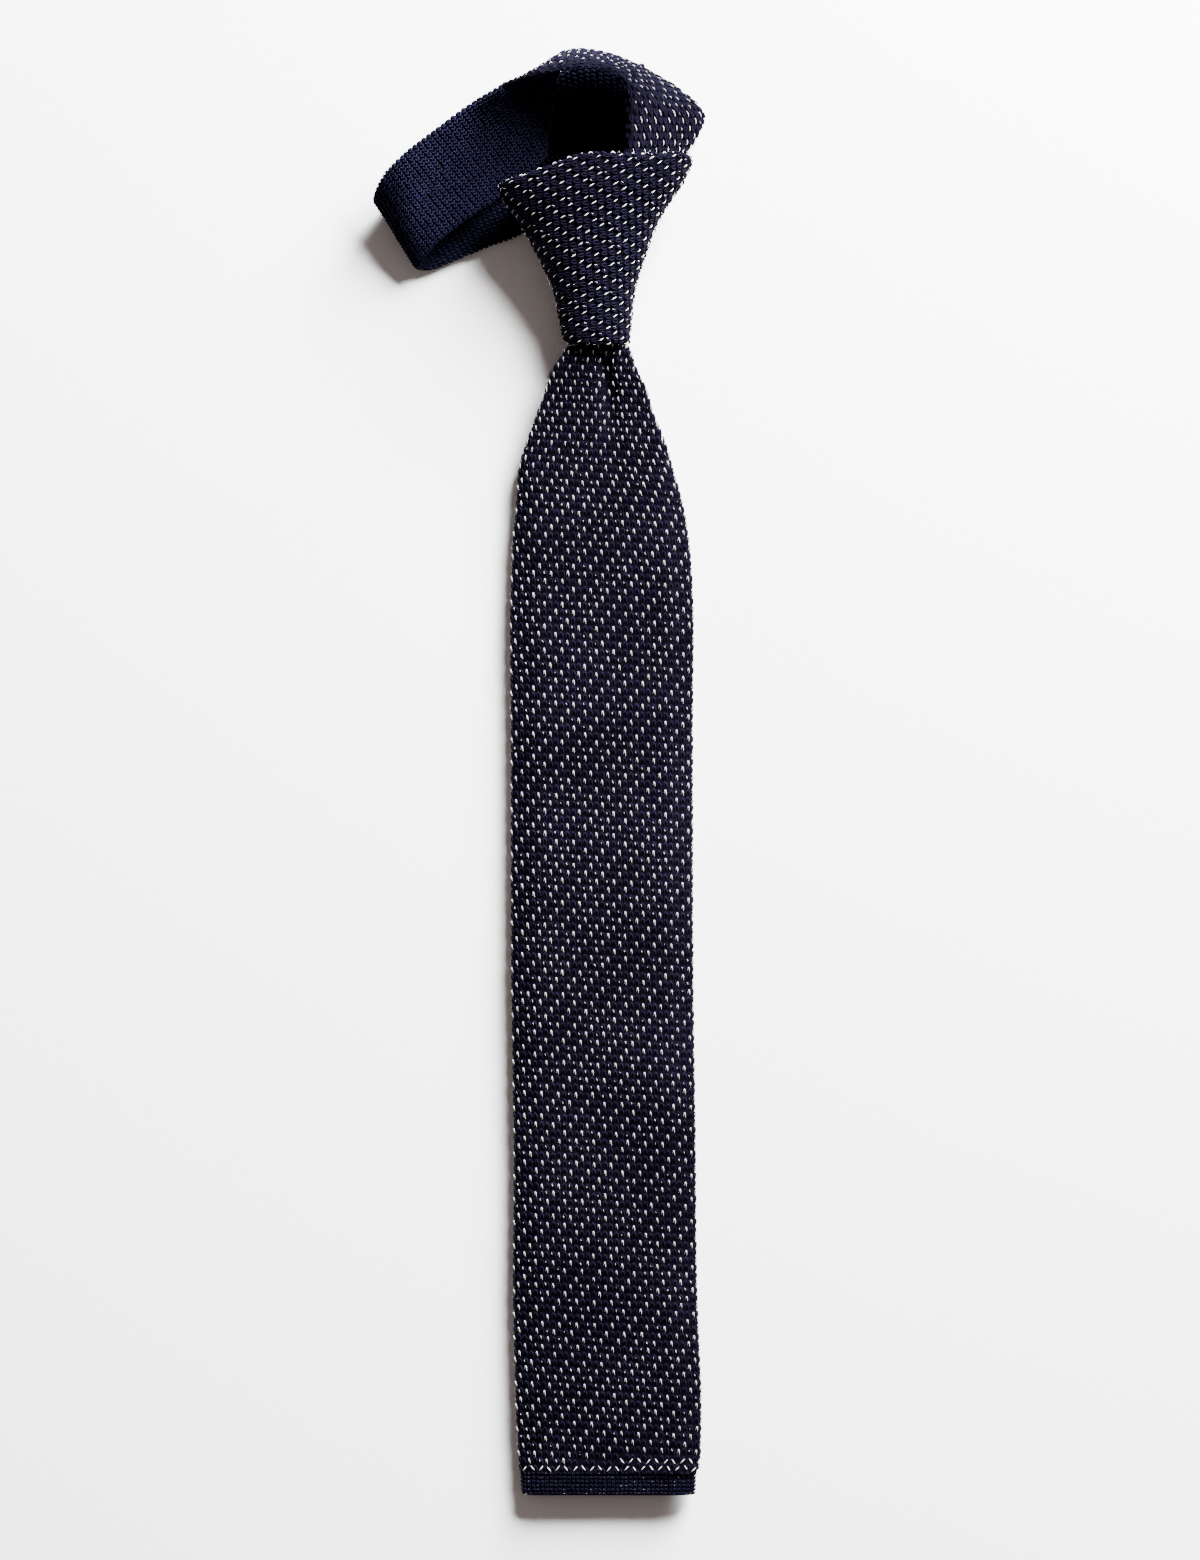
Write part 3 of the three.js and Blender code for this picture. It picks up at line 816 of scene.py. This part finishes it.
def onWrapSide(spots):
    # the spots from rim to rim, each once round
    place, share = onWrap(*spots)
    rows, around = wrapGrid["rows"], wrapGrid["around"]
    row = np.round(np.interp(place, wrapSurface["places"], np.arange(rows))).astype(int)
    column = np.round((share % 1) * around).astype(int) % around
    turn = wrapSurface["turns"][row, column]
    top = rowAt(mouthRims, "angle", np.degrees(turn) % 360)["drop"]
    chosen = (np.abs(share) < 0.49) & (place > top - 0.09) & (place < 1.05)
    return spots[0][chosen], spots[1][chosen]


wrapSpots = {
    kind: onWrapSide(spots)
    for kind, spots in lattice(np.arange(-14, 50), np.arange(-40, 41), slant=-1).items()}
knotWhites = stitchesOf("knotWhites", [
    strewn(wrapSurface, onWrap, hookStitch, wrapSpots["white"], lift=base + 0.07,
           sizes=(0.78, 0.94)),
    strewn(wrapSurface, onWrap, fleckStitch, wrapSpots["fleck"], lift=base + 0.06,
           sizes=(0.6, 1.0), keep=0.35),
], whiteYarn)
knotNavies = stitchesOf("knotNavies", [
    strewn(wrapSurface, onWrap, navyStitch, wrapSpots["navy"], lift=base),
], navyYarn)
print("knot: wrap stitched")

# Knot: the inner passes, which show only in its mouth

core = {"voxel": 0.0007, "smoothing": 6}


def coreOf():
    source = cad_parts["knot_core"]
    mesh = source.data.copy()
    piece = bpy.data.objects.new("knotCoreCloth", mesh)
    scene.collection.objects.link(piece)
    remesh = piece.modifiers.new("even", "REMESH")
    remesh.mode = "VOXEL"
    remesh.voxel_size = core["voxel"]
    smooth = piece.modifiers.new("soft", "SMOOTH")
    smooth.iterations = core["smoothing"]
    bpy.context.view_layer.update()
    made = bpy.data.meshes.new_from_object(
        piece.evaluated_get(bpy.context.evaluated_depsgraph_get()))
    piece.modifiers.clear()
    piece.data = made
    made.materials.clear()
    # the inner passes take the ground's darker colour, as painted shade for the knot's mouth
    made.materials.append(navyGroundPaintedShade)
    made.polygons.foreach_set("use_smooth", np.ones(len(made.polygons), bool))
    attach(piece, "root")
    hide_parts("knot_core")


coreOf()
print("knot: inner passes made")

# Neck band

loop = {
    "width": 107.7,
    "reach": 70.5,
    "bandWidth": 32.4,
    "bandThickness": 3.4,
    "creaseSize": 22,
    "creaseHeight": 0.9,
}
bandKnit = {"columns": 36, "ribs": 52, "ribPitch": 1.88, "ribWidth": 1.32, "sink": 0.45}
strandRows = tableOf("across down height width rise heading", [
    [0.168, 0.245, 0.509, 0.211, 35, 180],
    [0.274, 0.104, 0.462, 0.331, 42, 182],
    [0.343, -0.026, 0.445, 0.446, 42, 184],
])
loopRows = tableOf("across up layers height width rise heading bow", [
    [0.225, 0.186, 0, 0.362, 1.04, 41, 179, 0.03],
    [0.192, 0.282, 0, 0.427, 0.98, 51, 175, 0.04],
    [0.122, 0.356, 1, 0.403, 0.91, 65, 179, 0.06],
    [0.024, 0.404, 1, 0.443, 0.90, 78, 212, 0.08],
    [-0.078, 0.397, 1, 0.453, 0.87, 83, 246, 0.09],
    [-0.140, 0.294, 1, 0.432, 0.84, 69, 128, 0.13],
    [-0.197, 0.149, 1, 0.352, 1.01, 35, 121, 0.07],
    [-0.287, 0.053, 1, 0.263, 0.98, 25, 125, 0.02],
    [-0.375, -0.055, 1, 0.237, 0.99, 21, 129, 0],
    [-0.465, -0.151, 1, 0.258, 0.94, 17, 129, 0],
    [-0.530, -0.239, 1, 0.247, 0.90, 13, 127, 0],
    [-0.565, -0.307, 0, 0.282, 0.88, 11, 124, 0],
    [-0.577, -0.362, 0, 0.142, 0.84, 7, 123, 0],
    [-0.544, -0.367, 0, 0.038, 0.84, 3, 121, 0],
    [-0.468, -0.294, 0, 0.000, 0.95, 0, 120, 0],
    [-0.368, -0.218, 0, 0.000, 1.00, 0, 117, 0],
    [-0.263, -0.147, 0, 0.000, 1.03, 0, 111, 0],
    [-0.141, 0.020, 0, 0.000, 1.12, 0, 105, 0],
    [-0.027, 0.160, 0, 0.000, 1.12, 0, 99, 0],
    [0.075, 0.195, 0, 0.000, 1.02, 0, 93, 0],
    [0.170, 0.202, 0, 0.000, 0.94, 0, 92, 0],
])
bandTurns = 3   # the station where the strand turns over
patternEnd = 9  # the station where the birdseye gives way to plain knit
bandSteps = 12  # rows of the cloth from one station to the next


def rimWay(rise, heading):
    # the way across the band, from degrees
    rise, heading = np.radians(rise), np.radians(heading)
    return np.stack([np.cos(rise) * np.cos(heading), np.cos(rise) * np.sin(heading),
                     np.sin(rise)], axis=-1)


def bandCloth():
    s, l = strandRows, loopRows
    centres = np.vstack([
        np.stack([s["across"] * knot["topWidth"], knot["height"] * (1 - s["down"]),
                  s["height"] * knot["depth"]], -1),
        np.stack([l["across"] * loop["width"], knot["height"] + l["up"] * loop["reach"],
                  loop["bandThickness"] * (0.5 + l["layers"])
                  + l["height"] * loop["bandWidth"]], -1)])
    rims = np.vstack([
        rimWay(s["rise"], s["heading"]) * (s["width"] * knot["topWidth"] / 2)[:, None],
        rimWay(l["rise"], l["heading"]) * (l["width"] * loop["bandWidth"] / 2)[:, None]])
    bows = np.concatenate([np.zeros(len(s["across"])), l["bow"] * loop["bandWidth"]])
    last = len(centres) - 1
    places = np.linspace(0, last, last * bandSteps + 1)
    centre = curveThrough(centres, places)
    rim = curveThrough(rims, places)
    along = (curveThrough(centres, np.minimum(places + 0.01, last))
             - curveThrough(centres, np.maximum(places - 0.01, 0)))
    along /= np.linalg.norm(along, axis=1, keepdims=True)
    half = np.linalg.norm(rim, axis=1, keepdims=True)
    across = rim / half
    outwards = np.cross(along, across)
    outwards /= np.linalg.norm(outwards, axis=1, keepdims=True)
    bow = np.interp(places, np.arange(last + 1), bows)[:, None]
    shares = np.arange(212)[None, :] / 212
    a, b = tubeOutline(2 * half, loop["bandThickness"] + 0 * half, shares)
    steps = np.linalg.norm(np.diff(centre, axis=0), axis=1)
    length = np.concatenate([[0], np.cumsum(steps)])
    creased = smoothStep(places, 5, 7) * smoothStep(-places, -16, -14)
    bulge = bow * (1 - (a / half) ** 2)
    bulge = bulge + creased[:, None] * waves(
        a, length[:, None], loop["creaseSize"], loop["creaseHeight"], 11)
    points = (centre[:, None] + across[:, None] * a[..., None]
              + outwards[:, None] * (b + bulge)[..., None])
    cloth = clothOf(points, length)
    # outwards is from each ring's own middle, so a bowed stretch needs no care
    own = points - centre[:, None]
    if (cloth["normals"] * own).sum() < 0:
        cloth["normals"] = -cloth["normals"]
    cloth["stations"] = length[::bandSteps]
    return cloth


bandSurface = bandCloth()
bandLength = float(bandSurface["places"][-1])
bandPattern = float(bandSurface["stations"][patternEnd])
bandGround = loftOf("neckBandCloth", sunk(bandSurface, bandKnit["sink"])[:, ::2], navyGroundPaintedShade,
                    "neck_band")
print(f"neck band: cloth made, {bandLength:.0f} mm long, {bandPattern:.0f} mm patterned")


def onBand(column, course):
    return course * knit["course"], column / bandKnit["columns"]


def onRibs(column, course):
    return course * bandKnit["ribPitch"], column / bandKnit["ribs"]


bandBase = -bandKnit["sink"] + knit["crest"]
bandCourses = np.arange(2, int(bandPattern / knit["course"]) + 1)
bandNavySpots = lattice(np.arange(-9, 10), bandCourses)["navy"]
marked = lattice(np.arange(-7, 8), bandCourses)
turnsAt = float(bandSurface["stations"][bandTurns]) / knit["course"]
onStrand, onRoof = [(marked["white"][0][test], marked["white"][1][test])
                    for test in (marked["white"][1] < turnsAt, marked["white"][1] >= turnsAt)]
bandWhites = stitchesOf("bandWhites", [
    strewn(bandSurface, onBand, strokeStitch, onStrand, lift=bandBase + 0.05),
    strewn(bandSurface, onBand, strokeStitch, onRoof, lift=bandBase - 0.05,
           sizes=(0.46, 0.60), tall=0.85),
    strewn(bandSurface, onBand, fleckStitch, marked["fleck"], lift=bandBase, keep=0.3,
           sizes=(0.6, 1.0)),
], whiteYarn)
bandNavies = stitchesOf("bandNavies", [
    strewn(bandSurface, onBand, navyStitch, bandNavySpots, lift=bandBase),
], navyYarn)

plainStitch = yarnLoop(
    [[-0.55, -0.46, -0.20], [0.02, -0.26, 0.14], [0.46, 0.00, 0.10], [0.02, 0.26, 0.14],
     [-0.55, 0.46, -0.20]],
    [0.27, 0.28, 0.27], sides=4, pitch=(bandKnit["ribWidth"], bandKnit["ribPitch"]))
ribEnd = int(bandLength / bandKnit["ribPitch"]) + 1
patternRibs = int(bandPattern / bandKnit["ribPitch"]) + 1


def gridOf(columns, courses):
    # every spot of a plain knit
    grid = np.meshgrid(columns, courses, indexing="ij")
    return [part.ravel().astype(float) for part in grid]


bandInside = stitchesOf("bandInsideRibs", [
    strewn(bandSurface, onRibs, plainStitch, gridOf(np.arange(16, 37), np.arange(0, ribEnd)),
           lift=bandBase)], plainYarn)
bandOutside = stitchesOf("bandOutsideRibs", [
    strewn(bandSurface, onRibs, plainStitch,
           gridOf(np.arange(-15, 16), np.arange(patternRibs, ribEnd)),
           lift=bandBase)], plainYarn)
print("neck band: stitched")

# Rear blade

tailKnit = {"gather": 42.0, "columns": 42, "sink": 0.45, "whiteLift": -0.38, "navyLift": -0.36,
            "hiddenWidth": 0.72}


def tailMiddle(down):
    return rowAt(hangRows, "along", down / blade["length"])["drift"] * blade["width"]


def tailShape(down, share):
    # points of the rear blade, as bladeShape gives the front one's
    gathered = tailKnit["gather"]
    spread = rowAt(tailRows, "along", down / gathered)
    along = (down - gathered) / (tail["length"] - gathered)
    hanging = down > gathered
    narrow = tailRows["width"][-1]
    inside = down < 0.5  # what the knot hides
    width = np.where(hanging, mixed(narrow, 1.0, np.clip(along, 0, 1)), spread["width"])
    rest = np.where(hanging, 1.0, spread["rest"])
    height = mixed(exitShape["tailMiddle"], tail["thickness"] / 2, rest)
    x = np.where(hanging, tailMiddle(down),
                 mixed(exitShape["x"], tailMiddle(gathered), np.clip(down / gathered, 0, 1)))
    width = np.where(inside, tailKnit["hiddenWidth"] * exitShape["width"],
                     width * tail["width"])
    height = np.where(inside, exitShape["tailMiddle"], height)
    x = np.where(inside, exitShape["x"], x)
    across, up = tubeOutline(width, tail["thickness"] + 0 * width, share)
    return np.stack([x + across, -down + 0 * across, height + up], axis=-1)


tailDown = np.concatenate([np.linspace(hiddenStart, 60, 60),
                           np.linspace(60, tail["length"], 150)[1:]])
tailCloth = clothOf(tailShape(tailDown[:, None], np.arange(168)[None, :] / 168), tailDown)
tailGround = loftOf("rearBladeCloth", sunk(tailCloth, tailKnit["sink"])[:, ::2], navyGroundPaintedShade,
                    "rear_blade")


def onTail(column, course):
    return course * knit["course"], column / tailKnit["columns"]


# Plainer stitches for what lies towards the table
plainWhite = yarnLoop([[-0.10, 0.46, -0.30], [-0.12, 0.10, 0.28], [0.02, -0.34, 0.34],
                       [0.16, 0.10, 0.26], [0.18, 0.50, -0.30]], [0.26, 0.34, 0.24], sides=4)
plainNavy = yarnLoop([[-0.18, 0.55, -0.40], [-0.24, 0.10, 0.12], [0.00, -0.36, 0.20],
                      [0.24, 0.10, 0.12], [0.20, 0.55, -0.40]], [0.36, 0.36, 0.36], sides=4)
tailSpots = lattice(np.arange(8, 35), np.arange(0, 139))
tailWhites = stitchesOf("rearBladeWhites", [
    strewn(tailCloth, onTail, plainWhite, tailSpots["white"], lift=tailKnit["whiteLift"])],
    whiteYarn)
tailNavies = stitchesOf("rearBladeNavies", [
    strewn(tailCloth, onTail, plainNavy, tailSpots["navy"], lift=tailKnit["navyLift"])],
    navyYarn)
print("rear blade: stitched")

# The front blade's underside, where the rear blade doesn't cover it
underCourses = np.arange(24, 147)
underRight = lattice(np.arange(18, 28), underCourses)
underLeft = lattice(np.arange(-27, -17), underCourses)
underSpots = {kind: [np.concatenate(pair) for pair in zip(underRight[kind], underLeft[kind])]
              for kind in ("white", "navy")}
underWhites = stitchesOf("frontBladeUnderWhites", [
    strewn(frontCloth, onBlade, plainWhite, underSpots["white"], lift=base)],
    whiteYarn)
underNavies = stitchesOf("frontBladeUnderNavies", [
    strewn(frontCloth, onBlade, plainNavy, underSpots["navy"], lift=base)],
    navyYarn)
print("front blade: underside stitched")

# Hems

hem = {"length": 6.5, "width": 57.0, "thickness": 3.2, "columns": 82}
rearHem = {"length": 6.0, "columns": 52}
hemKnit = {"column": 1.46, "course": 1.34, "sink": 0.5, "lift": -0.33, "fleckLift": -0.42}
frontHemRows = tableOf("along width thickness", [
    [0.0, 1.0, 1.0], [0.15, 1.0, 1.0], [0.7, 0.995, 1.0], [0.93, 0.97, 0.85], [1.0, 0.93, 0.6]])
rearHemRows = tableOf("along width thickness", [
    [0.0, 0.97, 0.92], [0.75, 0.965, 0.92], [1.0, 0.9, 0.6]])


def frontHemShape(along, share):
    row = rowAt(frontHemRows, "along", along)
    across, up = tubeOutline(row["width"] * hem["width"], row["thickness"] * hem["thickness"],
                             share)
    droop = blade["edgeDroop"] * smoothStep(
        np.abs(across), tail["width"] / 2 + blade["thickness"] / 2, blade["width"] / 2)
    x = hangRows["drift"][-1] * blade["width"] + across
    y = -blade["length"] - clearance - along * hem["length"] + 0 * across
    return np.stack([x, y, tail["thickness"] + clearance + hem["thickness"] / 2 + up - droop], -1)


def rearHemShape(along, share):
    row = rowAt(rearHemRows, "along", along)
    across, up = tubeOutline(row["width"] * tail["width"], row["thickness"] * tail["thickness"],
                             share)
    x = tailMiddle(tail["length"] + clearance) + across
    y = -tail["length"] - clearance - along * rearHem["length"] + 0 * across
    return np.stack([x, y, tail["thickness"] / 2 + up + 0 * y], -1)


hemStitch = yarnLoop(
    [[-0.20, 0.62, -0.45], [-0.27, 0.30, -0.04], [-0.24, -0.06, 0.16], [0.00, -0.34, 0.26],
     [0.25, -0.04, 0.16], [0.28, 0.32, -0.04], [0.22, 0.62, -0.45]],
    [0.13, 0.18, 0.19, 0.18, 0.13], sides=4, pitch=(hemKnit["column"], hemKnit["course"]))


def hemOf(name, shape, node, columns, long):
    # the hem's ground, its fine courses and a few flecks. It begins under the blade.
    along = np.linspace(-0.24, 1, 50)
    cloth = clothOf(shape(along[:, None], np.arange(264)[None, :] / 264), along)
    ground = loftOf(name + "Cloth", sunk(cloth, hemKnit["sink"])[:, ::2], navyGroundPaintedShade,
                    node)
    rows = max(3, round(long / hemKnit["course"]))

    def placing(column, course):
        return (course + 0.3) / rows, column / columns

    spots = gridOf(np.arange(columns), np.arange(-1, rows))
    stitched = stitchesOf(name + "Courses", [
        strewn(cloth, placing, hemStitch, spots, lift=hemKnit["lift"])], hemYarn)
    flecks = stitchesOf(name + "Flecks", [
        strewn(cloth, placing, fleckStitch, spots, lift=hemKnit["fleckLift"], sizes=(0.4, 0.7),
               keep=0.25)], whiteYarn)
    return ground, stitched, flecks


frontHemPieces = hemOf("frontHem", frontHemShape, "front_hem", hem["columns"], hem["length"])
rearHemPieces = hemOf("rearHem", rearHemShape, "rear_hem", rearHem["columns"],
                      rearHem["length"])
print("hems: stitched")

# Floor, light and camera

table = {"reach": 3, "colour": (0.93, 0.93, 0.93), "roughness": 0.6}
floorMaterial = bpy.data.materials.new("paleTable")
floorMaterial.use_nodes = True
floorShader = floorMaterial.node_tree.nodes["Principled BSDF"]
floorShader.inputs["Base Color"].default_value = (*table["colour"], 1)
floorShader.inputs["Roughness"].default_value = table["roughness"]
floorMesh = bpy.data.meshes.new("table")
reach = table["reach"]
floorMesh.from_pydata([(-reach, -reach, 0), (reach, -reach, 0), (reach, reach, 0),
                       (-reach, reach, 0)], [], [(0, 1, 2, 3)])
floorMesh.materials.append(floorMaterial)
floor = bpy.data.objects.new("table", floorMesh)
scene.collection.objects.link(floor)

light = {
    "key": 418.0, "keySize": 0.78, "keyFrom": (0.70, 1.15, 0.60), "keyDistance": 1.5,
    "fill": 0.21, "fillColour": (1.0, 0.84, 0.78),
}
keyData = bpy.data.lights.new("softbox", "AREA")
keyData.energy = light["key"]
keyData.size = light["keySize"]
keyLight = bpy.data.objects.new("softbox", keyData)
keyWay = Vector(light["keyFrom"]).normalized()
keyLight.location = keyWay * light["keyDistance"]
keyLight.rotation_euler = keyWay.to_track_quat("Z", "Y").to_euler()
scene.collection.objects.link(keyLight)

world = bpy.data.worlds.new("studio")
scene.world = world
world.use_nodes = True
sky = world.node_tree.nodes["Background"]
sky.inputs["Color"].default_value = (*light["fillColour"], 1)
sky.inputs["Strength"].default_value = light["fill"]

# The camera looks straight down. It covers so many millimetres from top to bottom,
# at a level over the table.
view = {"middle": (19.64, -2.11), "distance": 5.0, "covers": 504.7, "level": 12.0,
        "sensor": 36, "far": 50}
cameraData = bpy.data.cameras.new("camera")
cameraData.sensor_fit = "VERTICAL"
cameraData.sensor_height = view["sensor"]
cameraData.lens = view["sensor"] * (view["distance"] * 1000 - view["level"]) / view["covers"]
cameraData.clip_end = view["far"]
camera = bpy.data.objects.new("camera", cameraData)
camera.location = (view["middle"][0] / 1000, view["middle"][1] / 1000, view["distance"])
scene.collection.objects.link(camera)
scene.camera = camera

print("all pieces made")
